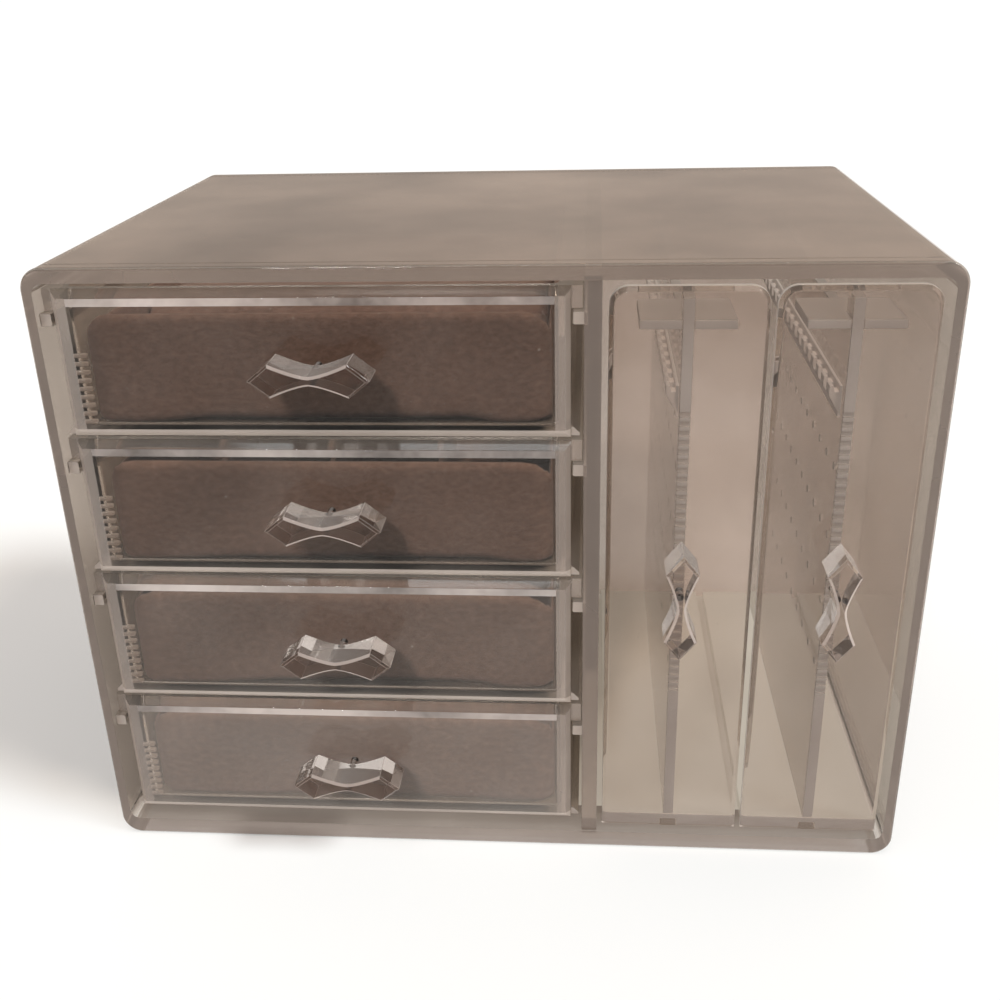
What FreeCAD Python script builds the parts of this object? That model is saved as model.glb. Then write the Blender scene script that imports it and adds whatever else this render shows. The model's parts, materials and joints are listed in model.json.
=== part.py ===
import FreeCAD, Part
import math
import os

# Clear desktop jewellery cabinet: four drawers with flocked trays on the left and two tall
# pull-out earring racks on the right. Millimetres. The origin is the middle of the case's
# underside, +Z is up, and the open front faces -Y.

# How far a cutting solid runs past what it cuts, how near counts as lying on a plane, and the
# cosine above which an edge counts as parallel to an axis
cut_past = 1.0
plane_tolerance = 0.01
parallel_cosine = 0.999

# Case
side_wall = 3.0
top_wall = 4.0
floor_wall = 5.5
back_wall = 3.0
case_corner_radius = 6.0
rim_round = 0.9
partition_thickness = 4.5
partition_front_set_back = 0.8
partition_seat = 1.0

# Drawer bay
drawer_count = 4
drawer_width = 133.5
drawer_height = 40.0
drawer_length = 145.0
drawer_gap = 1.2
drawer_top_gap = 2.2
drawer_bottom_gap = 2.7
drawer_back_gap = 2.0
front_recess = 2.0

# Drawer rails and the flanges that run on them
rail_reach = 3.0
rail_height = 3.3
rail_seat = 1.0
rail_round = 0.5
rail_front_set_back = 0.6
side_clearance = 0.25
running_clearance = 0.3
flange_height = 6.0
flange_front_set_back = 2.6

# Drawer mouldings
drawer_front_thickness = 4.5
drawer_side_thickness = 3.2
drawer_back_thickness = 2.5
drawer_floor_thickness = 2.0
front_top_bevel = 2.2
front_edge_bevel = 1.5
drawer_inner_radius = 2.0
foot_flare_reach = 2.3
foot_flare_edge = 0.8

# Flocked trays
tray_height = 30.5
tray_side_clearance = 0.9
tray_end_clearance = 1.0
tray_floor_clearance = 0.3
tray_wall = 2.4
tray_floor = 2.2
tray_plan_radius = 7.0
tray_shoulder_radius = 9.0
tray_cells = [(1, 1), (4, 2), (3, 2), (1, 2)]
divider_thickness = 2.0
divider_clearance = 0.3
divider_drop = 3.0
ring_roll_count = 7
ring_roll_height = 19.0
ring_roll_slit = 1.2
ring_roll_clearance = 0.3
ring_roll_roundness = 0.8

# Bow-tie knob
knob_length = 31.0
knob_lobe_height = 8.8
knob_waist_height = 3.6
knob_waist_length = 5.0
knob_lobe_spacing = 20.0
knob_depth = 10.0
knob_bevel = 1.4
knob_stem_diameter = 3.2
knob_stem_length = 3.8
knob_shift = 2.0

# Pull-out earring racks
rack_count = 2
panel_width = 39.8
panel_thickness = 3.0
panel_gap = 1.6
panel_side_gap = 1.65
panel_floor_gap = 0.5
panel_corner_radius = 5.0
panel_bevel = 1.2
base_thickness = 4.0
base_side_inset = 0.5
rack_back_gap = 4.0
guide_width = 4.0
guide_height = 2.2
guide_front_set_back = 4.0
board_thickness = 3.0
board_top_drop = 11.4
hole_diameter = 2.2
hole_sides = 8
hole_pitch_along = 10.4
hole_pitch_up = 20.0
hole_rows = 4
hole_first_from_front = 4.8
hole_margin_behind = 6.0
hole_top_drop = 50.0
brace_width = 24.5
brace_length = 21.5
brace_thickness = 2.5
brace_corner_radius = 1.5
tenon_length = 7.5
tenon_rise = 5.6
hook_pitch = 8.0
hook_width = 4.0
hook_reach = 3.4
hook_height = 8.6
hook_lip = 1.0
hook_lip_slope = 0.5
hook_notch_depth = 1.7
hook_tip_height = 2.6
hook_backing = 0.8
hook_top_drop = 27.1
hook_first_from_front = 3.0
hook_margin_behind = 5.0

# Places that follow from the sizes above
drawer_bay_width = drawer_width + 2 * (rail_reach + side_clearance)
rack_bay_width = rack_count * panel_width + (rack_count - 1) * panel_gap + 2 * panel_side_gap
case_width = 2 * side_wall + drawer_bay_width + partition_thickness + rack_bay_width
case_depth = front_recess + drawer_length + drawer_back_gap + back_wall
drawer_pitch = drawer_height + drawer_gap
stack_height = drawer_count * drawer_pitch - drawer_gap
case_height = floor_wall + drawer_bottom_gap + stack_height + drawer_top_gap + top_wall

left = -case_width / 2
right = case_width / 2
front = -case_depth / 2
back = case_depth / 2
inner_back = back - back_wall
ceiling = case_height - top_wall
bay_left = left + side_wall
bay_right = bay_left + drawer_bay_width
rack_bay_left = bay_right + partition_thickness

drawer_left = bay_left + rail_reach + side_clearance
drawer_right = drawer_left + drawer_width
drawer_front = front + front_recess
drawer_back = drawer_front + drawer_length
fronts_top = ceiling - drawer_top_gap

rack_bottom = floor_wall + panel_floor_gap
base_top = rack_bottom + base_thickness
panel_back = drawer_front + panel_thickness
rack_back = inner_back - rack_back_gap
board_top = fronts_top - board_top_drop


def vector(x, y, z):
    return FreeCAD.Vector(x, y, z)


def block(x, y, z):
    """A box between the low and high ends given for each axis."""
    return Part.makeBox(x[1] - x[0], y[1] - y[0], z[1] - z[0], vector(x[0], y[0], z[0]))


def straight_edges(shape, axis):
    """The straight edges that run along one axis."""
    found = []
    for edge in shape.Edges:
        if isinstance(edge.Curve, Part.Line) and abs(edge.Curve.Direction.dot(axis)) > parallel_cosine:
            found.append(edge)
    return found


def edges_on_plane(shape, axis, place):
    """The edges that lie wholly on the plane at this place along one axis."""
    found = []
    for edge in shape.Edges:
        box = edge.BoundBox
        low = vector(box.XMin, box.YMin, box.ZMin).dot(axis)
        high = vector(box.XMax, box.YMax, box.ZMax).dot(axis)
        if abs(low - place) < plane_tolerance and abs(high - place) < plane_tolerance:
            found.append(edge)
    return found


along_x = vector(1, 0, 0)
along_y = vector(0, 1, 0)
along_z = vector(0, 0, 1)


def rounded_block(x, y, z, axis, radius):
    """A box whose edges along one axis are rounded."""
    solid = block(x, y, z)
    return solid.makeFillet(radius, straight_edges(solid, axis))


def flat_outline(points):
    """A closed face through these points."""
    return Part.Face(Part.makePolygon(points + [points[0]]))


def union(solids):
    """One clean solid made of solids that touch or overlap."""
    return solids[0].multiFuse(solids[1:]).removeSplitter()


def drawer_top(index):
    """Top edge of a drawer, counted from 0 at the top."""
    return fronts_top - index * drawer_pitch


def rail_top(index):
    """Top of the rails that carry a drawer's side flanges."""
    return drawer_top(index) - flange_height - running_clearance


def rail_spans(index):
    """Length and height of the rails that carry one drawer."""
    top = rail_top(index)
    return (drawer_front + rail_front_set_back, inner_back), (top - rail_height, top)


# Case


def outer_case():
    shell = rounded_block((left, right), (front, back), (0, case_height), along_y, case_corner_radius)
    shell = shell.makeFillet(rim_round, edges_on_plane(shell, along_y, front))
    inner_radius = max(case_corner_radius - side_wall, rim_round)
    cavity = rounded_block(
        (bay_left, right - side_wall),
        (front - cut_past, inner_back),
        (floor_wall, ceiling),
        along_y,
        inner_radius,
    )
    shell = shell.cut(cavity)
    grooves = [partition_blank()]
    for index in range(drawer_count):
        along, up = rail_spans(index)
        grooves.append(block((bay_left - rail_seat, bay_left), along, up))
    for groove in grooves:
        shell = shell.cut(groove)
    return shell.removeSplitter()


def partition_blank():
    """The partition before its own grooves; its ends sit in the case's floor and ceiling."""
    return block(
        (bay_right, rack_bay_left),
        (front + partition_front_set_back, inner_back),
        (floor_wall - partition_seat, ceiling + partition_seat),
    )


def bay_partition():
    plate = partition_blank()
    for index in range(drawer_count):
        along, up = rail_spans(index)
        plate = plate.cut(block((bay_right, bay_right + rail_seat), along, up))
    return plate


def drawer_rails(wall_face, outward):
    """The rails of one side of the bay: each bar sits in its groove and reaches into the bay."""
    bars = []
    for index in range(drawer_count):
        along, up = rail_spans(index)
        tip = wall_face + outward * rail_reach
        bar = block(sorted((wall_face - outward * rail_seat, tip)), along, up)
        bars.append(bar.makeFillet(rail_round, edges_on_plane(bar, along_x, tip)))
    return Part.makeCompound(bars)


# Drawers


def side_flange(side, outward, top):
    """The runner flange along a drawer's upper side."""
    reach = rail_reach + side_clearance - running_clearance
    along = (drawer_front + flange_front_set_back, drawer_back)
    return block(sorted((side, side + outward * reach)), along, (top - flange_height, top))


def foot_flare(side, outward, bottom):
    """The sloping skirt along a drawer's lower side."""
    start = drawer_front + flange_front_set_back
    tip = side + outward * foot_flare_reach
    outline = flat_outline(
        [
            vector(side, start, bottom),
            vector(tip, start, bottom),
            vector(tip, start, bottom + foot_flare_edge),
            vector(side, start, bottom + foot_flare_edge + foot_flare_reach),
        ]
    )
    return outline.extrude(vector(0, drawer_back - start, 0))


def top_bevel_wedge(top):
    """What the 45 degree bevel takes off the upper edge of a drawer's front."""
    corner = vector(drawer_left - cut_past, drawer_front - cut_past, top + cut_past)
    leg = front_top_bevel + 2 * cut_past
    wedge = flat_outline([corner, corner + along_y * leg, corner - along_z * leg])
    return wedge.extrude(along_x * (drawer_width + 2 * cut_past))


def drawer_box(index):
    top = drawer_top(index)
    bottom = top - drawer_height
    body = block((drawer_left, drawer_right), (drawer_front, drawer_back), (bottom, top))
    face_edges = edges_on_plane(body, along_y, drawer_front)
    lower_edges = [edge for edge in face_edges if edge.BoundBox.ZMin < top - front_edge_bevel]
    parts = [body.makeChamfer(front_edge_bevel, lower_edges).cut(top_bevel_wedge(top))]
    for side, outward in ((drawer_left, -1), (drawer_right, 1)):
        parts.append(side_flange(side, outward, top))
        parts.append(foot_flare(side, outward, bottom))
    inner_floor = bottom + drawer_floor_thickness
    cavity = block(
        (drawer_left + drawer_side_thickness, drawer_right - drawer_side_thickness),
        (drawer_front + drawer_front_thickness, drawer_back - drawer_back_thickness),
        (inner_floor, top + 2 * drawer_inner_radius),
    )
    inner_edges = straight_edges(cavity, along_z) + edges_on_plane(cavity, along_z, inner_floor)
    return union(parts).cut(cavity.makeFillet(drawer_inner_radius, inner_edges))


def tray_outline(index):
    """How far one flocked tray reaches along each axis inside its drawer."""
    floor = drawer_top(index) - drawer_height + drawer_floor_thickness + tray_floor_clearance
    x = (
        drawer_left + drawer_side_thickness + tray_side_clearance,
        drawer_right - drawer_side_thickness - tray_side_clearance,
    )
    y = (
        drawer_front + drawer_front_thickness + tray_end_clearance,
        drawer_back - drawer_back_thickness - tray_end_clearance,
    )
    return x, y, (floor, floor + tray_height)


def tray_hollow(index):
    """The plan of a tray's hollow and the height of its floor."""
    x, y, z = tray_outline(index)
    return (x[0] + tray_wall, x[1] - tray_wall), (y[0] + tray_wall, y[1] - tray_wall), z[0] + tray_floor


def velvet_tray(index):
    """A flocked insert: rounded in plan, with shoulders that drop towards its sides."""
    x, y, z = tray_outline(index)
    plan = rounded_block(x, y, z, along_z, tray_plan_radius)
    sides = block(x, (y[0] - cut_past, y[1] + cut_past), (z[0] - 2 * tray_shoulder_radius, z[1]))
    shoulders = [edge for edge in straight_edges(sides, along_y) if edge.BoundBox.ZMin > z[0]]
    tray = plan.common(sides.makeFillet(tray_shoulder_radius, shoulders))
    hollow_x, hollow_y, floor = tray_hollow(index)
    return tray.cut(block(hollow_x, hollow_y, (floor, z[1] + cut_past)))


def divider_places(span, cells):
    """Both faces of each strip that parts a hollow into equal cells along one axis."""
    cell = (span[1] - span[0] - (cells - 1) * divider_thickness) / cells
    starts = [span[0] + number * cell + (number - 1) * divider_thickness for number in range(1, cells)]
    return [(start, start + divider_thickness) for start in starts]


def tray_divider(index):
    """The lift-out crate of crossing strips that parts a tray into its compartments."""
    hollow_x, hollow_y, floor = tray_hollow(index)
    columns, rows = tray_cells[index]
    x = (hollow_x[0] + divider_clearance, hollow_x[1] - divider_clearance)
    y = (hollow_y[0] + divider_clearance, hollow_y[1] - divider_clearance)
    z = (floor + divider_clearance, tray_outline(index)[2][1] - divider_drop)
    strips = [block(place, y, z) for place in divider_places(hollow_x, columns)]
    strips += [block(x, place, z) for place in divider_places(hollow_y, rows)]
    return union(strips) if len(strips) > 1 else strips[0]


def ring_rolls(index):
    """Padded bars side by side across a tray; rings stand in the slits between them."""
    hollow_x, hollow_y, floor = tray_hollow(index)
    x = (hollow_x[0] + ring_roll_clearance, hollow_x[1] - ring_roll_clearance)
    y = (hollow_y[0] + ring_roll_clearance, hollow_y[1] - ring_roll_clearance)
    z = (floor + ring_roll_clearance, floor + ring_roll_height)
    width = (y[1] - y[0] - (ring_roll_count - 1) * ring_roll_slit) / ring_roll_count
    rolls = []
    for number in range(ring_roll_count):
        start = y[0] + number * (width + ring_roll_slit)
        roll = block(x, (start, start + width), z)
        upper = edges_on_plane(roll, along_z, z[1])
        long_edges = [edge for edge in upper if edge.BoundBox.XLength > edge.BoundBox.YLength]
        rolls.append(roll.makeFillet(ring_roll_roundness * width / 2, long_edges))
    return Part.makeCompound(rolls)


# Knobs


def knob_outline():
    """The bow-tie seen from the front: two pointed lobes and a hollow waist."""
    lobe = (knob_lobe_spacing / 2, knob_lobe_height / 2)
    waist = (knob_waist_length / 2, knob_waist_height / 2)
    upper = [(knob_length / 2, 0), lobe, waist]
    upper += [(-x, z) for x, z in reversed(upper)]
    lower = [(x, -z) for x, z in reversed(upper[1:-1])]
    return flat_outline([vector(x, -knob_stem_length, z) for x, z in upper + lower])


def knob(centre, upright):
    """A bevelled bow-tie on a short stem, standing out from the face at its centre."""
    bow = knob_outline().extrude(-along_y * knob_depth)
    front_edges = edges_on_plane(bow, along_y, -knob_stem_length - knob_depth)
    bow = bow.makeChamfer(knob_bevel, front_edges)
    stem_length = knob_stem_length + cut_past
    stem = Part.makeCylinder(knob_stem_diameter / 2, stem_length, vector(0, 0, 0), -along_y)
    solid = union([bow, stem])
    if upright:
        solid.rotate(vector(0, 0, 0), along_y, 90)
    solid.translate(centre)
    return solid


# Earring racks


def rack_left(index):
    return rack_bay_left + panel_side_gap + index * (panel_width + panel_gap)


def rack_middle(index):
    return rack_left(index) + panel_width / 2


def rack_panel(index):
    start = rack_left(index)
    panel = block((start, start + panel_width), (drawer_front, panel_back), (rack_bottom, fronts_top))
    upright_edges = straight_edges(panel, along_y)
    corners = [edge for edge in upright_edges if edge.BoundBox.ZMin > rack_bottom + plane_tolerance]
    panel = panel.makeFillet(panel_corner_radius, corners)
    return panel.makeChamfer(panel_bevel, edges_on_plane(panel, along_y, drawer_front))


def guide_bar(index):
    """The bar on the case's floor that steers one rack."""
    middle = rack_middle(index)
    x = (middle - guide_width / 2, middle + guide_width / 2)
    return x, (panel_back + guide_front_set_back, inner_back), (floor_wall, floor_wall + guide_height)


def floor_guides():
    return Part.makeCompound([block(*guide_bar(index)) for index in range(rack_count)])


def rack_base(index):
    """The foot plate behind the panel, grooved underneath for its guide bar."""
    start = rack_left(index) + base_side_inset
    x = (start, start + panel_width - 2 * base_side_inset)
    plate = block(x, (panel_back, rack_back), (rack_bottom, base_top))
    guide_x, _, guide_z = guide_bar(index)
    groove = block(
        (guide_x[0] - running_clearance, guide_x[1] + running_clearance),
        (panel_back - cut_past, rack_back + cut_past),
        (rack_bottom - cut_past, guide_z[1] + running_clearance),
    )
    return plate.cut(groove)


def board_span(index):
    middle = rack_middle(index)
    return middle - board_thickness / 2, middle + board_thickness / 2


def stud_hole(x, y, z):
    """What one small hole takes out of the board, with few sides."""
    corners = []
    for number in range(hole_sides):
        turn = 2 * math.pi * (number + 0.5) / hole_sides
        radius = hole_diameter / 2
        corners.append(vector(x, y + radius * math.cos(turn), z + radius * math.sin(turn)))
    return flat_outline(corners).extrude(along_x * (board_thickness + 2 * cut_past))


def earring_board(index):
    """The upright plate with rows of stud holes and a tenon that rises through the brace."""
    x = board_span(index)
    board = block(x, (panel_back, rack_back), (base_top, board_top))
    tenon_top = board_top + brace_thickness + tenon_rise
    tenon = block(x, (panel_back, panel_back + tenon_length), (board_top, tenon_top))
    board = union([board, tenon])
    first_y = panel_back + hole_first_from_front
    columns = int((rack_back - hole_margin_behind - first_y) // hole_pitch_along) + 1
    drills = []
    for row in range(hole_rows):
        for column in range(columns):
            y = first_y + column * hole_pitch_along
            z = fronts_top - hole_top_drop - row * hole_pitch_up
            drills.append(stud_hole(x[0] - cut_past, y, z))
    return board.cut(Part.makeCompound(drills))


def rack_brace(index):
    """The square plate that ties the board's head to the panel."""
    middle = rack_middle(index)
    x = (middle - brace_width / 2, middle + brace_width / 2)
    plate = block(x, (panel_back, panel_back + brace_length), (board_top, board_top + brace_thickness))
    upright_edges = straight_edges(plate, along_z)
    rear_corners = [edge for edge in upright_edges if edge.BoundBox.YMin > panel_back + plane_tolerance]
    plate = plate.makeFillet(brace_corner_radius, rear_corners)
    slot = block(
        board_span(index),
        (panel_back - cut_past, panel_back + tenon_length),
        (board_top - cut_past, board_top + brace_thickness + cut_past),
    )
    return plate.cut(slot)


def hook_profile(face, y, low):
    """One hook seen from the front: a tapered bracket with a lip at its tip."""
    high = low + hook_height
    shelf = high - hook_notch_depth
    return flat_outline(
        [
            vector(face, y, low),
            vector(face - hook_reach, y, high - hook_tip_height),
            vector(face - hook_reach, y, high),
            vector(face - hook_reach + hook_lip, y, high),
            vector(face - hook_reach + hook_lip + hook_lip_slope, y, shelf),
            vector(face - hook_backing, y, shelf),
            vector(face - hook_backing, y, high),
            vector(face, y, high),
        ]
    )


def necklace_hooks(index):
    """A comb of small hooks on the board's left face, under the brace."""
    face = board_span(index)[0]
    low = fronts_top - hook_top_drop - hook_height
    start = panel_back + hook_first_from_front
    stop = rack_back - hook_margin_behind
    count = int((stop - start - hook_width) // hook_pitch) + 1
    end = start + (count - 1) * hook_pitch + hook_width
    parts = [block((face - hook_backing, face), (start, end), (low, low + hook_height))]
    for number in range(count):
        y = start + number * hook_pitch
        parts.append(hook_profile(face, y, low).extrude(along_y * hook_width))
    return union(parts)


def build():
    nodes = {
        "outer_case": outer_case(),
        "bay_partition": bay_partition(),
        "case_drawer_rails": drawer_rails(bay_left, 1),
        "partition_drawer_rails": drawer_rails(bay_right, -1),
        "rack_floor_guides": floor_guides(),
    }
    knob_x = (drawer_left + drawer_right) / 2 + knob_shift
    for index in range(drawer_count):
        name = "drawer_%d" % (index + 1)
        middle = drawer_top(index) - drawer_height / 2
        nodes[name + "_box"] = drawer_box(index)
        nodes[name + "_velvet_tray"] = velvet_tray(index)
        if tray_cells[index] == (1, 1):
            nodes[name + "_ring_rolls"] = ring_rolls(index)
        else:
            nodes[name + "_tray_divider"] = tray_divider(index)
        nodes[name + "_knob"] = knob(vector(knob_x, drawer_front, middle), False)
    for index in range(rack_count):
        name = "rack_%d" % (index + 1)
        middle = (rack_bottom + fronts_top) / 2
        nodes[name + "_front_panel"] = rack_panel(index)
        nodes[name + "_base_plate"] = rack_base(index)
        nodes[name + "_earring_board"] = earring_board(index)
        nodes[name + "_brace"] = rack_brace(index)
        nodes[name + "_necklace_hooks"] = necklace_hooks(index)
        nodes[name + "_knob"] = knob(vector(rack_middle(index), drawer_front, middle), True)
    return nodes


os.makedirs("parts", exist_ok=True)
for node, shape in build().items():
    shape.exportStep("parts/%s.step" % node)
    print(node, len(shape.Solids), round(shape.Volume), shape.isValid())
print("case", case_width, case_depth, case_height)
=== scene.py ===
import bpy
import json
import math
import random
from mathutils import Matrix, Vector


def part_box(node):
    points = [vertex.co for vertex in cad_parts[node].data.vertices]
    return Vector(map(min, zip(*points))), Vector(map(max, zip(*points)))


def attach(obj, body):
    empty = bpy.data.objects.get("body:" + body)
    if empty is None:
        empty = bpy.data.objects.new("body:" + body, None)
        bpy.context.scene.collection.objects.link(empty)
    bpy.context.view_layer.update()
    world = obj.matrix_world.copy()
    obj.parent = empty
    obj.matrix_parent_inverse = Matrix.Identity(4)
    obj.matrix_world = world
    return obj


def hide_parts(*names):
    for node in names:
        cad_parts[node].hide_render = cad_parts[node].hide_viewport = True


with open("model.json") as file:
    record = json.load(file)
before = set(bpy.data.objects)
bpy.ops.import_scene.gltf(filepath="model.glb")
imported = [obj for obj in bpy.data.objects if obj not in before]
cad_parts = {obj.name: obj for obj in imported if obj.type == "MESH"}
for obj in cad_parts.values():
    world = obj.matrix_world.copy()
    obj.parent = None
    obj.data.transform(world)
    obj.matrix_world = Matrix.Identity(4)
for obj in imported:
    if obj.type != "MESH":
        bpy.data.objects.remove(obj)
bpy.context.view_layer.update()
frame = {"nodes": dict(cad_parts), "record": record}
nodeBody = {}
for bodyName, members in frame["record"]["behaviour"]["bodies"].items():
    for nodeName in members:
        nodeBody[nodeName] = bodyName
drawerNumbers = (1, 2, 3, 4)
rackNumbers = (1, 2)
print("frame loaded,", len(nodeBody), "nodes")


# selecting and finishing, used by every piece

def pick(piece):
    if bpy.context.object and bpy.context.object.mode != "OBJECT":
        bpy.ops.object.mode_set(mode="OBJECT")
    bpy.ops.object.select_all(action="DESELECT")
    piece.select_set(True)
    bpy.context.view_layer.objects.active = piece


def clearSelection():
    if bpy.context.object and bpy.context.object.mode != "OBJECT":
        bpy.ops.object.mode_set(mode="OBJECT")
    bpy.ops.object.select_all(action="DESELECT")


def selectEdges(piece, test):
    # test gets both ends of an edge
    bpy.ops.object.mode_set(mode="EDIT")
    bpy.ops.mesh.select_mode(type="EDGE")
    bpy.ops.mesh.select_all(action="DESELECT")
    bpy.ops.object.mode_set(mode="OBJECT")
    corners = piece.data.vertices
    for edge in piece.data.edges:
        edge.select = test(corners[edge.vertices[0]].co, corners[edge.vertices[1]].co)
    bpy.ops.object.mode_set(mode="EDIT")


def addBlock(name, low, high):
    clearSelection()
    middle = [(a + b) / 2 for a, b in zip(low, high)]
    size = [b - a for a, b in zip(low, high)]
    bpy.ops.mesh.primitive_cube_add(size=1, location=middle, scale=size)
    piece = bpy.context.object
    piece.name = name
    bpy.ops.object.transform_apply(location=True, rotation=True, scale=True)
    return piece


def applyModifier(piece, kind, **settings):
    pick(piece)
    modifier = piece.modifiers.new(kind.title(), kind)
    for setting, value in settings.items():
        setattr(modifier, setting, value)
    bpy.ops.object.modifier_apply(modifier=modifier.name)


overshoot = 0.001                      # how far a cutting tool passes the face it cuts


def carve(piece, tool, operation):
    applyModifier(piece, "BOOLEAN", operation=operation, object=tool, solver="EXACT")
    bpy.data.objects.remove(tool)


def joinPieces(name, parts):
    clearSelection()
    for part in parts:
        part.select_set(True)
    bpy.context.view_layer.objects.active = parts[0]
    if len(parts) > 1:
        bpy.ops.object.join()
    piece = bpy.context.object
    piece.name = name
    return piece


def smoothByAngle(piece, degrees):
    pick(piece)
    bpy.ops.object.shade_smooth_by_angle(angle=math.radians(degrees))


# materials

def evenly(share):
    # the same clearness whichever way a face looks
    return {"clear": share, "clearOnTop": share, "clearOnSides": share}


acrylicLook = {
    "tint": (0.71, 0.645, 0.59),           # what one wall lets through
    "tintUneven": (0.74, 0.675, 0.62),
    "ior": 1.49,
    "shine": 0.3,                          # how much it mirrors head on
    "clear": 0.995,                        # share of the surface that isn't hazed
    "clearOnTop": 0.86,                    # dust lies on the faces that look up
    "clearOnSides": 0.90,                  # the sides are scuffed from sliding
    "film": (0.58, 0.51, 0.45),            # the colour of that dust
    "filmUneven": 0.86,                    # how dark the film gets in its thick patches
    "speck": -0.25,
    "roughness": (0.01, 0.05),
    "scuffs": (14.0, 60.0, 340.0),         # how the fine scuffs are stretched
    "scratchDepth": 0.000003,
    "fade": 0.0,                           # how far the tint follows the height, not the clouds: painted shade by height
    "lampTint": (0.935, 0.915, 0.895),
}
frontLook = dict(acrylicLook, tint=(0.72, 0.635, 0.57))
frontClear = (0.990, 0.980, 0.955, 0.885)  # the lower drawers' fronts are hazier
panelLook = dict(acrylicLook, tint=(0.81, 0.735, 0.69), tintUneven=(0.86, 0.79, 0.75))
baseLook = dict(acrylicLook, clearOnSides=0.96, clearOnTop=0.45, film=(0.95, 0.89, 0.80))  # the case's floor: a pale film on faces that look up, partly dust, partly painted light that brightens the bays' bottoms
wallLook = dict(acrylicLook, tint=(0.66, 0.59, 0.535), clear=0.95, film=(0.44, 0.37, 0.315))
innerLook = dict(acrylicLook, clear=0.985, clearOnSides=0.975, film=(0.52, 0.45, 0.39))
# the back wall's tint darkens towards its top: painted shade
backLook = dict(acrylicLook, **evenly(0.84), tint=(0.74, 0.655, 0.59), tintUneven=(0.27, 0.195, 0.15),
                roughness=(0.02, 0.07), fade=0.85)
boardLook = dict(acrylicLook, tint=(0.93, 0.90, 0.875), tintUneven=(0.95, 0.92, 0.90), ior=1.3,
                 clearOnSides=0.93, film=(0.82, 0.75, 0.69), speck=-0.1, lampTint=(0.95, 0.94, 0.93))
rungLook = dict(boardLook, **evenly(0.52), film=(0.86, 0.77, 0.71),
                tint=(0.86, 0.78, 0.73), tintUneven=(0.96, 0.89, 0.84), roughness=(0.12, 0.24), speck=0.0)
# the lid's dark taupe film: partly dust, partly a painted reflection of a taupe ceiling
lidLook = dict(acrylicLook, clear=0.86, film=(0.55, 0.425, 0.338), filmUneven=0.54,
               lampTint=(0.88, 0.85, 0.82))
knobLook = dict(acrylicLook, tint=(0.62, 0.54, 0.495), tintUneven=(0.68, 0.60, 0.55), ior=1.3, shine=0.6,
                clearOnTop=0.90, clearOnSides=0.97, film=(0.70, 0.64, 0.60), lampTint=(0.28, 0.24, 0.22))
paleKnobLook = dict(knobLook, tint=(0.86, 0.81, 0.775), tintUneven=(0.90, 0.85, 0.82),
                    lampTint=(0.80, 0.77, 0.75))
# the knobs' tiny edge facets: a whitish haze that paints bright outlines, a painted highlight
facetHighlightLook = dict(knobLook, shine=0.3, **evenly(0.62), film=(0.66, 0.57, 0.52),
                 tint=(0.64, 0.54, 0.49), tintUneven=(0.74, 0.64, 0.585), roughness=(0.08, 0.18))
edgeLook = dict(acrylicLook, tint=(0.36, 0.29, 0.25), tintUneven=(0.40, 0.325, 0.28), clear=0.66,
                clearOnTop=0.56, clearOnSides=0.56, film=(0.37, 0.31, 0.265), roughness=(0.10, 0.22),
                scuffs=(60.0, 60.0, 60.0), scratchDepth=0.000001, speck=0.0)
bevelLook = dict(acrylicLook, tint=(0.50, 0.43, 0.38), tintUneven=(0.55, 0.48, 0.42), clear=0.88,
                 clearOnTop=0.88, clearOnSides=0.8, film=(0.5, 0.44, 0.39), roughness=(0.04, 0.17), shine=1.0)
# the strip below a drawer's top bevel: a pale, patchy haze that paints a highlight
highlightBandLook = dict(bevelLook, **evenly(0.50), tint=(0.17, 0.14, 0.125), tintUneven=(0.94, 0.83, 0.77), speck=0.0)
marginLook = dict(acrylicLook, **evenly(0.74), tint=(0.54, 0.45, 0.395), tintUneven=(0.64, 0.545, 0.48),
                  roughness=(0.05, 0.16), shine=0.8, speck=0.0)
footLook = dict(marginLook, tint=(0.60, 0.51, 0.45), tintUneven=(0.72, 0.62, 0.55), **evenly(0.55))
ribLook = dict(marginLook, **evenly(0.60), tint=(0.60, 0.51, 0.45))


def newNode(tree, kind, place, **values):
    # a value goes to the node's setting of that name, or else to its input, and a socket is linked
    node = tree.nodes.new(kind)
    node.location = place
    for key, value in values.items():
        if hasattr(node, key):
            setattr(node, key, value)
        elif isinstance(value, bpy.types.NodeSocket):
            tree.links.new(value, node.inputs[key.replace("_", " ")])
        else:
            node.inputs[key.replace("_", " ")].default_value = value
    return node


def remap(tree, place, source, fromRange, toRange=(0.0, 1.0)):
    return newNode(tree, "ShaderNodeMapRange", place, Value=source, From_Min=fromRange[0],
                   From_Max=fromRange[1], To_Min=toRange[0], To_Max=toRange[1]).outputs["Result"]


def mixColours(tree, place, factor, first, second):
    node = newNode(tree, "ShaderNodeMix", place, data_type="RGBA")
    tree.links.new(factor, node.inputs[0])
    for index, colour in ((6, first), (7, second)):
        if isinstance(colour, bpy.types.NodeSocket):
            tree.links.new(colour, node.inputs[index])
        else:
            node.inputs[index].default_value = (*colour, 1)
    return node.outputs[2]


def calculate(tree, place, operation, *parts, **settings):
    node = newNode(tree, "ShaderNodeMath", place, operation=operation, **settings)
    for index, part in enumerate(parts):
        if isinstance(part, bpy.types.NodeSocket):
            tree.links.new(part, node.inputs[index])
        else:
            node.inputs[index].default_value = part
    return node.outputs[0]


def emptyMaterial(name):
    material = bpy.data.materials.new(name)
    material.use_nodes = True
    material.node_tree.nodes.clear()
    return material, material.node_tree


facesAlong = (0.8, 0.98)               # how squarely a face looks up or sideways to count as doing so
paintedShadeHeights = (0.03, 0.17)
leastFacing = 0.16                     # below this, haze gets no denser at a slant


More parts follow.
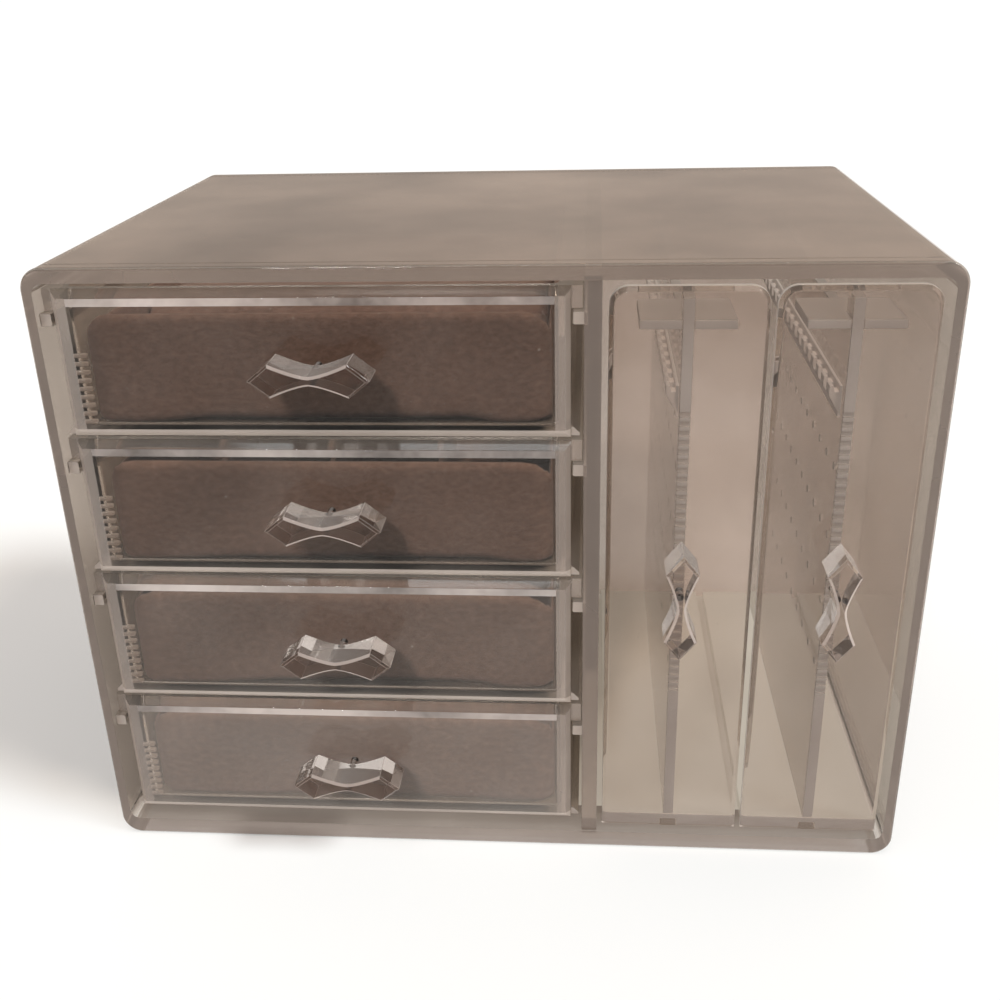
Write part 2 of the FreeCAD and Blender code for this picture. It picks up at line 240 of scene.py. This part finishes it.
def makeAcrylic(name, look):
    material, tree = emptyMaterial(name)
    place = newNode(tree, "ShaderNodeTexCoord", (-1700, 0)).outputs["Object"]
    cloud = newNode(tree, "ShaderNodeTexNoise", (-1400, 200), Vector=place, Scale=22.0, Detail=5.0,
                    Roughness=0.6).outputs["Fac"]
    stretch = newNode(tree, "ShaderNodeMapping", (-1500, -250), Vector=place, Scale=look["scuffs"],
                      Rotation=(0.0, math.radians(4), 0.0)).outputs["Vector"]
    scratch = newNode(tree, "ShaderNodeTexNoise", (-1300, -250), Vector=stretch, Scale=6.0, Detail=8.0,
                      Roughness=0.72).outputs["Fac"]
    speck = newNode(tree, "ShaderNodeTexVoronoi", (-1300, -500), Vector=place,
                    Scale=420.0).outputs["Distance"]
    drift = newNode(tree, "ShaderNodeTexNoise", (-1300, -750), Vector=place, Scale=11.0, Detail=4.0,
                    Roughness=0.55).outputs["Fac"]
    normal = newNode(tree, "ShaderNodeNewGeometry", (-1500, 700)).outputs["Normal"]
    facing = newNode(tree, "ShaderNodeSeparateXYZ", (-1300, 700))
    tree.links.new(normal, facing.inputs[0])
    sidewise = calculate(tree, (-1100, 900), "ABSOLUTE", facing.outputs["X"])
    squarely = calculate(tree, (-1000, 850), "MAXIMUM", sidewise, facing.outputs["Z"])

    # colour: the tint in clouds or by height, the latter painted shade, and the film on faces that look up or
    # sideways
    spot = newNode(tree, "ShaderNodeSeparateXYZ", (-1500, 400))
    tree.links.new(place, spot.inputs[0])
    height = remap(tree, (-1300, 400), spot.outputs["Z"], paintedShadeHeights)
    patchy = remap(tree, (-1200, 250), cloud, (0.34, 0.66))
    shadeBy = newNode(tree, "ShaderNodeMix", (-1000, 300), data_type="FLOAT")
    shadeBy.inputs[0].default_value = look["fade"]
    tree.links.new(patchy, shadeBy.inputs[2])
    tree.links.new(height, shadeBy.inputs[3])
    tint = mixColours(tree, (-800, 250), shadeBy.outputs[0], look["tint"], look["tintUneven"])
    banked = remap(tree, (-1000, -750), drift, (0.35, 0.65))
    film = mixColours(tree, (-800, -200), banked, look["film"],
                      [look["filmUneven"] * part for part in look["film"]])
    dust = remap(tree, (-800, 800), squarely, facesAlong)
    colour = mixColours(tree, (-500, 250), dust, tint, film)

    # clear or hazed: less clear on those faces, in soft clouds, in tiny specks, and at a slant
    upward = remap(tree, (-800, 600), facing.outputs["Z"], facesAlong,
                   (look["clear"], look["clearOnTop"]))
    sideways = remap(tree, (-800, 1000), sidewise, facesAlong, (look["clear"], look["clearOnSides"]))
    worn = calculate(tree, (-600, 800), "MINIMUM", upward, sideways)
    away = newNode(tree, "ShaderNodeLayerWeight", (-1100, 1250), Blend=0.5).outputs["Facing"]
    towards = calculate(tree, (-900, 1250), "SUBTRACT", 1.0, away)
    limited = calculate(tree, (-750, 1250), "MAXIMUM", towards, leastFacing)
    path = calculate(tree, (-600, 1200), "DIVIDE", 1.0, limited)
    hazed = calculate(tree, (-450, 900), "POWER", worn, path)
    clouded = remap(tree, (-800, 450), cloud, (0.3, 0.7), (0.01, -0.02))
    specked = remap(tree, (-800, -500), speck, (0.03, 0.09), (look["speck"], 0.0))
    uneven = calculate(tree, (-350, 700), "ADD", hazed, clouded)
    clear = calculate(tree, (-250, 500), "ADD", uneven, specked, use_clamp=True)

    rough = remap(tree, (-700, -50), scratch, (0.35, 0.75), look["roughness"])
    bump = newNode(tree, "ShaderNodeBump", (-450, -300), Strength=0.5, Distance=look["scratchDepth"],
                   Height=scratch).outputs["Normal"]
    surface = newNode(tree, "ShaderNodeBsdfPrincipled", (-50, 100), Base_Color=colour,
                      Transmission_Weight=clear, Roughness=rough, Normal=bump, IOR=look["ior"],
                      Specular_Tint=(*(3 * [look["shine"]]), 1))

    # lamps shine through the walls
    through = newNode(tree, "ShaderNodeBsdfTransparent", (-50, -250), Color=(*look["lampTint"], 1))
    rays = newNode(tree, "ShaderNodeLightPath", (0, 450))
    mixed = newNode(tree, "ShaderNodeMixShader", (300, 100))
    tree.links.new(rays.outputs["Is Shadow Ray"], mixed.inputs[0])
    tree.links.new(surface.outputs[0], mixed.inputs[1])
    tree.links.new(through.outputs[0], mixed.inputs[2])
    newNode(tree, "ShaderNodeOutputMaterial", (500, 100), Surface=mixed.outputs[0])
    return material


flockLook = {
    # each lower drawer's flock is a little paler: painted light, one velvet lit more lower down
    "shades": [(0.214, 0.130, 0.100), (0.226, 0.139, 0.107), (0.236, 0.147, 0.114), (0.246, 0.155, 0.121)],
    "nap": (170.0, 170.0, 300.0),          # how the pile's streaks are stretched
    "roughness": 0.92,
    "sheen": 0.35,
    "sheenTint": (0.62, 0.55, 0.50),
    "pileDepth": 0.00011,
    "darkPatch": 0.93,
    "palePatch": 1.07,
    "streak": 1.9,
    "lint": (0.62, 0.57, 0.52),
}


def brighter(colour, share):
    return [min(1.0, share * part) for part in colour]


def makeFlock(name, shade, look):
    material, tree = emptyMaterial(name)
    place = newNode(tree, "ShaderNodeTexCoord", (-1400, 0)).outputs["Object"]
    broad = newNode(tree, "ShaderNodeTexNoise", (-1100, 250), Vector=place, Scale=30.0, Detail=4.0,
                    Roughness=0.55).outputs["Fac"]
    nap = newNode(tree, "ShaderNodeMapping", (-1250, -50), Vector=place, Scale=look["nap"]).outputs["Vector"]
    fibre = newNode(tree, "ShaderNodeTexNoise", (-1050, -50), Vector=nap, Scale=2.4, Detail=6.0,
                    Roughness=0.7).outputs["Fac"]
    lint = newNode(tree, "ShaderNodeTexVoronoi", (-1050, -350), Vector=place, Scale=85.0).outputs["Distance"]

    # soft patches, streaks of brushed pile, and specks of lint
    worn = remap(tree, (-900, 250), broad, (0.35, 0.65))
    patches = mixColours(tree, (-700, 250), worn, brighter(shade, look["darkPatch"]),
                         brighter(shade, look["palePatch"]))
    strands = remap(tree, (-800, 0), fibre, (0.42, 0.68), (0.0, 0.5))
    brushed = mixColours(tree, (-450, 200), strands, patches, brighter(shade, look["streak"]))
    flecks = remap(tree, (-800, -350), lint, (0.02, 0.045), (0.5, 0.0))
    dusted = mixColours(tree, (-250, 150), flecks, brushed, look["lint"])
    bump = newNode(tree, "ShaderNodeBump", (-300, -250), Strength=0.6, Distance=look["pileDepth"],
                   Height=fibre).outputs["Normal"]
    surface = newNode(tree, "ShaderNodeBsdfPrincipled", (0, 100), Base_Color=dusted, Normal=bump,
                      Roughness=look["roughness"], Sheen_Weight=look["sheen"], Sheen_Roughness=0.6,
                      Sheen_Tint=(*look["sheenTint"], 1), Specular_IOR_Level=0.2)
    newNode(tree, "ShaderNodeOutputMaterial", (300, 100), Surface=surface.outputs[0])
    return material


clearAcrylic = makeAcrylic("clearAcrylic", acrylicLook)
knobAcrylic = makeAcrylic("knobAcrylic", knobLook)
paleKnob = makeAcrylic("paleKnob", paleKnobLook)
sawnEdge = makeAcrylic("sawnEdge", edgeLook)
lidDustAndReflection = makeAcrylic("lidDustAndReflection", lidLook)
caseAcrylic = makeAcrylic("caseAcrylic", wallLook)
innerWall = makeAcrylic("innerWall", innerLook)
baseAcrylic = makeAcrylic("baseAcrylic", baseLook)
boardAcrylic = makeAcrylic("boardAcrylic", boardLook)
drawerBevel = makeAcrylic("drawerBevel", bevelLook)
drawerHighlightBand = makeAcrylic("drawerHighlightBand", highlightBandLook)
rackPanel = makeAcrylic("rackPanel", panelLook)
drawerFronts = [makeAcrylic("drawerFront%d" % number, dict(frontLook, clear=frontClear[number - 1]))
                for number in drawerNumbers]
drawerMargin = makeAcrylic("drawerMargin", marginLook)
drawerFoot = makeAcrylic("drawerFoot", footLook)
sideRib = makeAcrylic("sideRib", ribLook)
backWall = makeAcrylic("backWall", backLook)
rackEdge = makeAcrylic("rackEdge", rungLook)
knobFacetHighlight = makeAcrylic("knobFacetHighlight", facetHighlightLook)
flocks = [makeFlock("flock%d" % number, flockLook["shades"][number - 1], flockLook)
          for number in drawerNumbers]
print("materials made")


# acrylic sheets and mouldings: a copy of each part with its edges polished

polish = {
    "default": {"width": 0.00030, "limit": 30},
    "outer_case": {"width": 0.00045, "limit": 30},
    "drawer_box": {"width": 0.00035, "limit": 28},
    "earring_board": {"width": 0.00022, "limit": 60},
    "necklace_hooks": {"width": 0.00018, "limit": 30},
    "rails": {"width": 0.00020, "limit": 40},
}
shadeAngle = 32                                    # edges sharper than this stay crisp
mergeDistance, flatAngle = 0.000002, 0.5           # what counts as one corner, and as one plane
touching = 0.0001                                  # what counts as the same level


def cutAcross(piece, place, turn):
    pick(piece)
    bpy.ops.object.mode_set(mode="EDIT")
    bpy.ops.mesh.select_all(action="SELECT")
    bpy.ops.mesh.bisect(plane_co=place, plane_no=turn)
    bpy.ops.object.mode_set(mode="OBJECT")


highlightBand = {"under": 0.0022, "height": 0.0021}    # the strip below the top bevel, painted bright as a highlight


def markMargin(piece, number, top):
    # cuts the drawer's front along the tray's outline and the strip, so that each gets its own finish; the
    # strip's finish paints a highlight
    trayLow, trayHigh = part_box("drawer_%d_velvet_tray" % number)
    bandLow = top - highlightBand["under"] - highlightBand["height"]
    for edge in (trayLow.x, trayHigh.x):
        cutAcross(piece, (edge, 0, 0), (1, 0, 0))
    for level in (trayLow.z, bandLow):
        cutAcross(piece, (0, 0, level), (0, 0, 1))
    return {"left": trayLow.x, "right": trayHigh.x, "foot": trayLow.z, "band": bandLow}


# how near a side of the case a face lies to count as that side's
wallReach, floorReach, skinDepth, frontReach = 0.006, 0.01, 0.001, 0.0007
sillDepth = 0.012                      # how far the hazy front strip of the case's floor goes back


def isSawn(nodeName, middle, normal, low):
    atFront = normal.y < -0.9 and middle.y < low.y + frontReach
    if nodeName.endswith("_front_panel"):
        return abs(normal.y) < 0.5
    if nodeName.endswith("_brace"):
        return abs(normal.z) < 0.5
    onFloor = normal.z > 0.9 and middle.z < low.z + floorReach
    if nodeName == "outer_case" and onFloor and middle.y < low.y + sillDepth:
        return True
    return atFront and nodeName.endswith(("outer_case", "bay_partition", "_board", "_rails", "_base_plate"))


lidGroove = {"inset": 0.0042, "width": 0.0005, "depth": 0.0002}
boardNotches = {"start": 0.044, "end": 0.128, "pitch": 0.0026, "height": 0.0012, "depth": 0.0004}


def grooveLid(piece, low, high):
    near, far = lidGroove["inset"], lidGroove["inset"] + lidGroove["width"]
    base = high.z - lidGroove["depth"]
    ring = addBlock("ring", (low.x + near, low.y + near, base),
                    (high.x - near, high.y - near, high.z + overshoot))
    core = addBlock("core", (low.x + far, low.y + far, base - overshoot),
                    (high.x - far, high.y - far, high.z + 2 * overshoot))
    carve(ring, core, "DIFFERENCE")
    carve(piece, ring, "DIFFERENCE")


def notchBoard(piece, low, high):
    teeth = []
    base = low.z + boardNotches["start"]
    while base < low.z + boardNotches["end"]:
        teeth.append(addBlock("tooth", (low.x - overshoot, low.y - overshoot, base),
                              (high.x + overshoot, low.y + boardNotches["depth"],
                               base + boardNotches["height"])))
        base += boardNotches["pitch"]
    carve(piece, joinPieces("teeth", teeth), "DIFFERENCE")


def drawerNumber(nodeName):
    return int(nodeName.split("_")[1])


def bodyMaterial(nodeName):
    if nodeName == "outer_case":
        return caseAcrylic
    for ending, material in (("_base_plate", baseAcrylic), ("_hooks", rackEdge), ("_front_panel", rackPanel),
                             ("_board", boardAcrylic), ("_brace", boardAcrylic)):
        if nodeName.endswith(ending):
            return material
    return clearAcrylic


def edgeMaterial(nodeName):
    if nodeBody[nodeName].startswith("rack_"):
        return rackEdge
    return sideRib if nodeName.endswith("_rails") else sawnEdge


faceCoats = {
    "lid": lidDustAndReflection,
    "base": baseAcrylic,
    "back": backWall,
    "inner": innerWall,
    "bevel": drawerBevel,
    "margin": drawerMargin,
    "foot": drawerFoot,
    "band": drawerHighlightBand,
}


def faceFinish(nodeName, middle, normal, low, high, margin):
    # the name of a face's coat, by where it is and which way it looks
    if isSawn(nodeName, middle, normal, low):
        return "edge"
    if nodeName == "outer_case":
        if abs(normal.z) > 0.5 and middle.z > high.z - wallReach:
            return "lid"
        if normal.z > 0.5 and middle.z < low.z + floorReach:
            return "base"
        if abs(normal.y) > 0.9 and middle.y > high.y - wallReach:
            return "back"
        if low.x + skinDepth < middle.x < high.x - skinDepth:
            return "inner"
    if margin and normal.y < -0.6:
        if normal.z > 0.6:
            return "bevel"
        beforeTray = margin["left"] < middle.x < margin["right"]
        if normal.y < -0.9 and beforeTray and middle.z > margin["band"]:
            return "band"
        if normal.y < -0.9 and beforeTray and middle.z > margin["foot"]:
            return "front"
        if middle.z < margin["foot"]:
            return "foot"
        if not (beforeTray and middle.z > margin["foot"]):
            return "margin"
    return "body"


def mergedCopy(name, nodeName):
    clearSelection()
    piece = bpy.data.objects.new(name, frame["nodes"][nodeName].data.copy())
    bpy.context.scene.collection.objects.link(piece)
    pick(piece)
    bpy.ops.object.mode_set(mode="EDIT")
    bpy.ops.mesh.select_all(action="SELECT")
    bpy.ops.mesh.remove_doubles(threshold=mergeDistance)
    bpy.ops.mesh.dissolve_limited(angle_limit=math.radians(flatAngle))
    bpy.ops.object.mode_set(mode="OBJECT")
    if piece.data.has_custom_normals:
        bpy.ops.mesh.customdata_custom_splitnormals_clear()
    piece.data.materials.clear()
    return piece


def polishedCopy(nodeName, finish):
    piece = mergedCopy(nodeName + "_clear", nodeName)
    low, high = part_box(nodeName)
    if nodeName.endswith("_board"):
        notchBoard(piece, low, high)
    if nodeName == "outer_case":
        grooveLid(piece, low, high)
        cutAcross(piece, (0, low.y + sillDepth, 0), (0, 1, 0))
    isDrawer = nodeName.endswith("_box")
    margin = markMargin(piece, drawerNumber(nodeName), high.z) if isDrawer else None
    applyModifier(piece, "BEVEL", width=finish["width"], segments=2, limit_method="ANGLE",
                  angle_limit=math.radians(finish["limit"]), use_clamp_overlap=True)
    smoothByAngle(piece, shadeAngle)
    # large faces stay flat
    applyModifier(piece, "WEIGHTED_NORMAL", mode="FACE_AREA", weight=100, keep_sharp=True)
    coats = dict(faceCoats, body=bodyMaterial(nodeName), edge=edgeMaterial(nodeName))
    if isDrawer:
        coats["front"] = drawerFronts[drawerNumber(nodeName) - 1]
    finishes = [faceFinish(nodeName, face.center, face.normal, low, high, margin)
                for face in piece.data.polygons]
    used = [name for name in coats if name in finishes]
    piece.data.materials.clear()
    for name in used:
        piece.data.materials.append(coats[name])
    for face, name in zip(piece.data.polygons, finishes):
        face.material_index = used.index(name)
    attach(piece, nodeBody[nodeName])
    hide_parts(nodeName)


for nodeName in sorted(nodeBody):
    if nodeName.endswith(("_knob", "_velvet_tray", "_tray_divider", "_ring_rolls")):
        continue
    finish = polish["default"]
    for kind in polish:
        if kind in nodeName or (kind == "drawer_box" and nodeName.endswith("_box")):
            finish = polish[kind]
    polishedCopy(nodeName, finish)
print("acrylic polished")


# small ribs inside the left wall of each drawer, beside the tray's rounded corner

ribShape = {
    "count": 9,
    "pitch": 0.0023,
    "width": 0.0036,
    "depth": 0.0014,
    "thickness": 0.0012,
    "start": 0.0004,                       # above the tray's foot
    "outside": 0.0017,                     # past the tray's left side
    "ahead": 0.0009,                       # of the tray's front
    "soften": 0.0004,
}


def makeRibs(number):
    low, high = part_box("drawer_%d_velvet_tray" % number)
    left, front = low.x - ribShape["outside"], low.y - ribShape["ahead"]
    ribs = []
    for step in range(ribShape["count"]):
        base = low.z + ribShape["start"] + step * ribShape["pitch"]
        rib = addBlock("rib", (left, front, base), (left + ribShape["width"], front + ribShape["depth"],
                                                    base + ribShape["thickness"]))
        applyModifier(rib, "BEVEL", width=ribShape["soften"], segments=2)
        smoothByAngle(rib, 30)
        ribs.append(rib)
    comb = joinPieces("drawer_%d_ribs" % number, ribs)
    comb.data.materials.append(sideRib)
    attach(comb, "drawer_%d" % number)


for number in drawerNumbers:
    makeRibs(number)
print("ribs made")


# flocked trays

trayShape = {
    "planRadius": 0.0070,
    "shoulderRadius": 0.0095,
    "wall": 0.0024,
    "floor": 0.0022,
    "voxel": 0.0013,
    "smoothing": 3,
    "lift": [0.0016, 0.0013, 0.0020, 0.0009],   # how far the front's lower edge stands up off the drawer
    "liftStarts": [0.10, 0.12, 0.16, 0.22],
    "liftEnds": [0.90, 0.93, 0.90, 0.88],
    "liftDepth": 0.0042,                        # how far behind the front the lift reaches
    "liftHeight": 0.011,                        # where the lift has faded out
    "liftRise": 0.2,                            # the share of the width where it rises, and where it falls
    "liftFall": 0.1,
    "liftCorner": 0.6,                          # how far it rises again at the right corner
    "liftWave": 0.18,
    "liftWaveRate": 9,
    "gaugeDepth": 0.03,
    "hollowRadius": 0.003,
    "uneven": 0.00025,
    "unevenSize": 0.02,
}


def roundedPlan(name, low, high, radius):
    piece = addBlock(name, low, high)
    selectEdges(piece, lambda a, b: abs(a.z - b.z) > 0.001)
    bpy.ops.mesh.bevel(offset=radius, segments=8, affect="EDGES")
    bpy.ops.object.mode_set(mode="OBJECT")
    return piece


def frontLift(share, index):
    start, end = trayShape["liftStarts"][index], trayShape["liftEnds"][index]
    if share < start:
        rise = 0.0
    elif share < start + trayShape["liftRise"]:
        rise = (share - start) / trayShape["liftRise"]
    elif share < end - trayShape["liftFall"]:
        rise = 1.0
    elif share < end:
        rise = (end - share) / trayShape["liftFall"]
    else:
        rise = trayShape["liftCorner"] * (share - end) / max(1 - end, 0.01)
    smooth = rise * rise * (3 - 2 * rise)
    wave = 1 + trayShape["liftWave"] * math.sin(trayShape["liftWaveRate"] * share + index)
    return trayShape["lift"][index] * smooth * wave


def makeTray(index):
    nodeName = "drawer_%d_velvet_tray" % (index + 1)
    low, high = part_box(nodeName)
    tray = roundedPlan("flockedTray%d" % (index + 1), low, high, trayShape["planRadius"])
    radius = trayShape["shoulderRadius"]
    gauge = addBlock("gauge", (low.x, low.y - 2 * overshoot, low.z - trayShape["gaugeDepth"]),
                     (high.x, high.y + 2 * overshoot, high.z))
    selectEdges(gauge, lambda a, b: min(a.z, b.z) > high.z - 0.001 and abs(a.y - b.y) > 0.01)
    bpy.ops.mesh.bevel(offset=radius, segments=8, affect="EDGES")
    bpy.ops.object.mode_set(mode="OBJECT")
    carve(tray, gauge, "INTERSECT")
    wall = trayShape["wall"]
    hollow = roundedPlan("hollow", (low.x + wall, low.y + wall, low.z + trayShape["floor"]),
                         (high.x - wall, high.y - wall, high.z + 10 * overshoot), trayShape["hollowRadius"])
    carve(tray, hollow, "DIFFERENCE")
    applyModifier(tray, "REMESH", mode="VOXEL", voxel_size=trayShape["voxel"], use_smooth_shade=True)
    applyModifier(tray, "SMOOTH", factor=0.5, iterations=trayShape["smoothing"])
    soft = bpy.data.textures.new("trayUneven%d" % (index + 1), "CLOUDS")
    soft.noise_scale = trayShape["unevenSize"]
    applyModifier(tray, "DISPLACE", texture=soft, strength=trayShape["uneven"], mid_level=0.5)
    width, reach = high.x - low.x, trayShape["liftHeight"]
    for corner in tray.data.vertices:
        place = corner.co
        if place.y < low.y + trayShape["liftDepth"] and place.z < low.z + reach:
            fade = 1 - (place.z - low.z) / reach
            place.z += frontLift((place.x - low.x) / width, index) * fade
    tray.data.materials.clear()
    tray.data.materials.append(flocks[index])
    bpy.data.textures.remove(soft)
    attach(tray, nodeBody[nodeName])
    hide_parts(nodeName)


for number in drawerNumbers:
    makeTray(number - 1)
print("trays made")


# what lies in the trays: crossing strips, and the padded ring rolls

stripShape = {"soften": 0.0007, "segments": 3, "softenAngle": 40, "voxel": 0.0008, "smoothing": 2}


def makeDivider(number):
    nodeName = "drawer_%d_tray_divider" % number
    strips = mergedCopy("flockedDivider%d" % number, nodeName)
    applyModifier(strips, "BEVEL", width=stripShape["soften"], segments=stripShape["segments"],
                  limit_method="ANGLE", angle_limit=math.radians(stripShape["softenAngle"]))
    applyModifier(strips, "REMESH", mode="VOXEL", voxel_size=stripShape["voxel"], use_smooth_shade=True)
    applyModifier(strips, "SMOOTH", factor=0.5, iterations=stripShape["smoothing"])
    strips.data.materials.append(flocks[number - 1])
    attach(strips, nodeBody[nodeName])
    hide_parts(nodeName)


rollShape = {
    "count": 7,
    "slit": 0.0012,
    "shoulder": 0.005,
    "voxel": 0.0016,
    "smoothing": 8,
    "gather": 0.0011,                      # how deep the pinches in a roll's top are
    "gatherRate": 40,                      # in radians along the whole roll
}


def makeRingRolls():
    nodeName = "drawer_1_ring_rolls"
    low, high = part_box(nodeName)
    width = (high.y - low.y - (rollShape["count"] - 1) * rollShape["slit"]) / rollShape["count"]
    rolls = []
    random.seed(4)
    for number in range(rollShape["count"]):
        start = low.y + number * (width + rollShape["slit"])
        roll = addBlock("roll", (low.x, start, low.z), (high.x, start + width, high.z))
        bpy.ops.object.mode_set(mode="EDIT")
        bpy.ops.mesh.select_all(action="SELECT")
        bpy.ops.mesh.subdivide(number_cuts=1)
        bpy.ops.object.mode_set(mode="OBJECT")
        selectEdges(roll, lambda a, b: abs(a.x - b.x) > 0.02 and min(a.z, b.z) > high.z - 0.001)
        bpy.ops.mesh.bevel(offset=rollShape["shoulder"], segments=3, affect="EDGES")
        bpy.ops.object.mode_set(mode="OBJECT")
        applyModifier(roll, "REMESH", mode="VOXEL", voxel_size=rollShape["voxel"], use_smooth_shade=True)
        applyModifier(roll, "SMOOTH", factor=0.5, iterations=rollShape["smoothing"])
        turn = random.uniform(0, 6)
        for corner in roll.data.vertices:
            place = corner.co
            share = (place.x - low.x) / (high.x - low.x)
            upper = max(0.0, (place.z - low.z) / (high.z - low.z) - 0.4)
            pinch = 0.5 + 0.5 * math.sin(rollShape["gatherRate"] * share + turn)
            place.z -= rollShape["gather"] * upper * pinch * 0.5
        rolls.append(roll)
    piece = joinPieces("ringRolls", rolls)
    piece.data.materials.clear()
    piece.data.materials.append(flocks[0])
    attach(piece, nodeBody[nodeName])
    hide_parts(nodeName)


for number in drawerNumbers[1:]:
    makeDivider(number)
makeRingRolls()
print("dividers and ring rolls made")


# bow-tie knobs

knobShape = {
    "length": 0.031,
    "lobeSpacing": 0.020,
    "lobeHeight": 0.0088,
    "waistHeight": 0.0024,
    "depth": 0.010,
    "chamfer": 0.00060,
    "stemRadius": 0.0011,
    "stemLength": 0.0038,
    "polish": 0.00028,
    "polishAngle": 28,
    "shadeAngle": 24,
    "facetArea": 0.0000030,                # the facets are the faces smaller than this
}


def bowTieOutline():
    # upper edge from the right tip to the left one, then back along the lower edge
    lobe, top = knobShape["lobeSpacing"] / 2, knobShape["lobeHeight"] / 2
    waist = knobShape["waistHeight"] / 2
    upper = [(knobShape["length"] / 2, 0.0)]
    for share in (1.0, 0.75, 0.5, 0.3, 0.14, 0.0):
        upper.append((lobe * share, waist + (top - waist) * share ** 1.4))
    mirrored = [(-x, z) for x, z in reversed(upper[:-1])]
    lower = [(x, -z) for x, z in reversed(upper[1:] + mirrored[:-1])]
    return upper + mirrored + lower


def makeKnob(nodeName, upright):
    low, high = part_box(nodeName)
    middle = (low + high) / 2
    outline = bowTieOutline()
    clearSelection()
    bpy.ops.mesh.primitive_circle_add(vertices=len(outline), radius=0.01, fill_type="NGON",
                                      location=(0, 0, 0))
    bow = bpy.context.object
    rear = high.y - knobShape["stemLength"]
    front = rear - knobShape["depth"]
    for corner, (along, across) in zip(bow.data.vertices, outline):
        x, z = (across, along) if upright else (along, across)
        corner.co = (middle.x + x, rear, middle.z + z)
    bpy.ops.object.mode_set(mode="EDIT")
    bpy.ops.mesh.select_all(action="SELECT")
    bpy.ops.mesh.extrude_region_move(TRANSFORM_OT_translate={"value": (0, front - rear, 0)})
    bpy.ops.mesh.select_all(action="SELECT")
    bpy.ops.mesh.normals_make_consistent(inside=False)
    bpy.ops.object.mode_set(mode="OBJECT")
    selectEdges(bow, lambda a, b: max(a.y, b.y) < front + touching)
    bpy.ops.mesh.bevel(offset=knobShape["chamfer"], segments=1, affect="EDGES")
    bpy.ops.object.mode_set(mode="OBJECT")
    clearSelection()
    reach = knobShape["stemLength"] + overshoot
    bpy.ops.mesh.primitive_cylinder_add(vertices=24, radius=knobShape["stemRadius"], depth=reach,
                                        location=(middle.x, high.y - reach / 2, middle.z),
                                        rotation=(math.pi / 2, 0, 0))
    stem = bpy.context.object
    bpy.ops.object.transform_apply(location=True, rotation=True, scale=True)
    carve(bow, stem, "UNION")
    bow.name = nodeName + "_bow"
    applyModifier(bow, "BEVEL", width=knobShape["polish"], segments=2, limit_method="ANGLE",
                  angle_limit=math.radians(knobShape["polishAngle"]))
    smoothByAngle(bow, knobShape["shadeAngle"])
    applyModifier(bow, "WEIGHTED_NORMAL", mode="FACE_AREA", weight=100, keep_sharp=True)
    bow.data.materials.clear()
    bow.data.materials.append(paleKnob if upright else knobAcrylic)
    bow.data.materials.append(knobFacetHighlight)
    # the tiny front facets get the pale haze: painted highlight along the outlines
    for face in bow.data.polygons:
        if face.area < knobShape["facetArea"] and face.center.y < rear + touching:
            face.material_index = 1
    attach(bow, nodeBody[nodeName])
    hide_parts(nodeName)


for number in drawerNumbers:
    makeKnob("drawer_%d_knob" % number, False)
for number in rackNumbers:
    makeKnob("rack_%d_knob" % number, True)
print("knobs made")


# floor, light and camera

stage = {
    "floorColour": (0.95, 0.95, 0.945),
    "worldColour": (1.0, 0.90, 0.82),     # a warm room, which the acrylic mirrors
    "worldStrength": 0.38,
}


def makeStage():
    clearSelection()
    bpy.ops.mesh.primitive_plane_add(size=600, location=(0, 0, 0))
    floor = bpy.context.object
    floor.name = "floor"
    bpy.ops.object.transform_apply(location=True, rotation=True, scale=True)
    material = bpy.data.materials.new("paleFloor")
    material.use_nodes = True
    tree = material.node_tree
    surface = tree.nodes["Principled BSDF"]
    surface.inputs["Roughness"].default_value = 0.9
    surface.inputs["Specular IOR Level"].default_value = 0.1
    surface.inputs["Base Color"].default_value = (*stage["floorColour"], 1)
    floor.data.materials.append(material)
    world = bpy.data.worlds.new("studio")
    bpy.context.scene.world = world
    world.use_nodes = True
    backdrop = world.node_tree.nodes["Background"]
    backdrop.inputs["Color"].default_value = (*stage["worldColour"], 1)
    backdrop.inputs["Strength"].default_value = stage["worldStrength"]


lamps = [
    {"name": "key", "towards": (0.660, -0.220, 0.718), "spread": 15, "strength": 2.05,
     "colour": (0.965, 0.995, 1.0)},
    {"name": "front", "towards": (-0.212, -0.742, 0.636), "spread": 8, "strength": 1.25,
     "colour": (0.98, 0.99, 1.0)},
    {"name": "softbox", "towards": (-0.137, -0.371, 0.919), "spread": 18, "strength": 0.26,
     "colour": (0.97, 0.99, 1.0)},
]


def makeLamps():
    for lamp in lamps:
        data = bpy.data.lights.new(lamp["name"], "SUN")
        data.angle = math.radians(lamp["spread"])
        data.energy = lamp["strength"]
        data.color = lamp["colour"]
        light = bpy.data.objects.new(lamp["name"], data)
        bpy.context.scene.collection.objects.link(light)
        light.location = 2 * Vector(lamp["towards"])
        light.rotation_mode = "QUATERNION"
        light.rotation_quaternion = (-Vector(lamp["towards"])).to_track_quat("-Z", "Y")


viewpoint = {
    "place": (0.027107, -0.357046, 0.241370),
    "right": (0.99704, 0.07295, -0.02437),
    "forward": (-0.07654, 0.90955, -0.40849),
    "up": (-0.00763, 0.40914, 0.91244),
    "lens": 41.85,
}


def makeCamera():
    data = bpy.data.cameras.new("camera")
    data.sensor_width = 36
    data.lens = viewpoint["lens"]
    data.clip_start = 0.01
    data.clip_end = 500
    camera = bpy.data.objects.new("camera", data)
    bpy.context.scene.collection.objects.link(camera)
    right, forward, up = (Vector(viewpoint[name]).normalized() for name in ("right", "forward", "up"))
    turn = Matrix((right, up, -forward)).transposed()
    camera.matrix_world = Matrix.Translation(viewpoint["place"]) @ turn.to_4x4()
    bpy.context.scene.camera = camera


makeStage()
makeLamps()
makeCamera()
scene = bpy.context.scene
scene.view_settings.view_transform = "Standard"
scene.cycles.caustics_reflective = False
scene.cycles.caustics_refractive = False
scene.cycles.max_bounces = 32
scene.cycles.transmission_bounces = 32
scene.cycles.glossy_bounces = 24
scene.cycles.transparent_max_bounces = 40
print("stage, lamps and camera set")
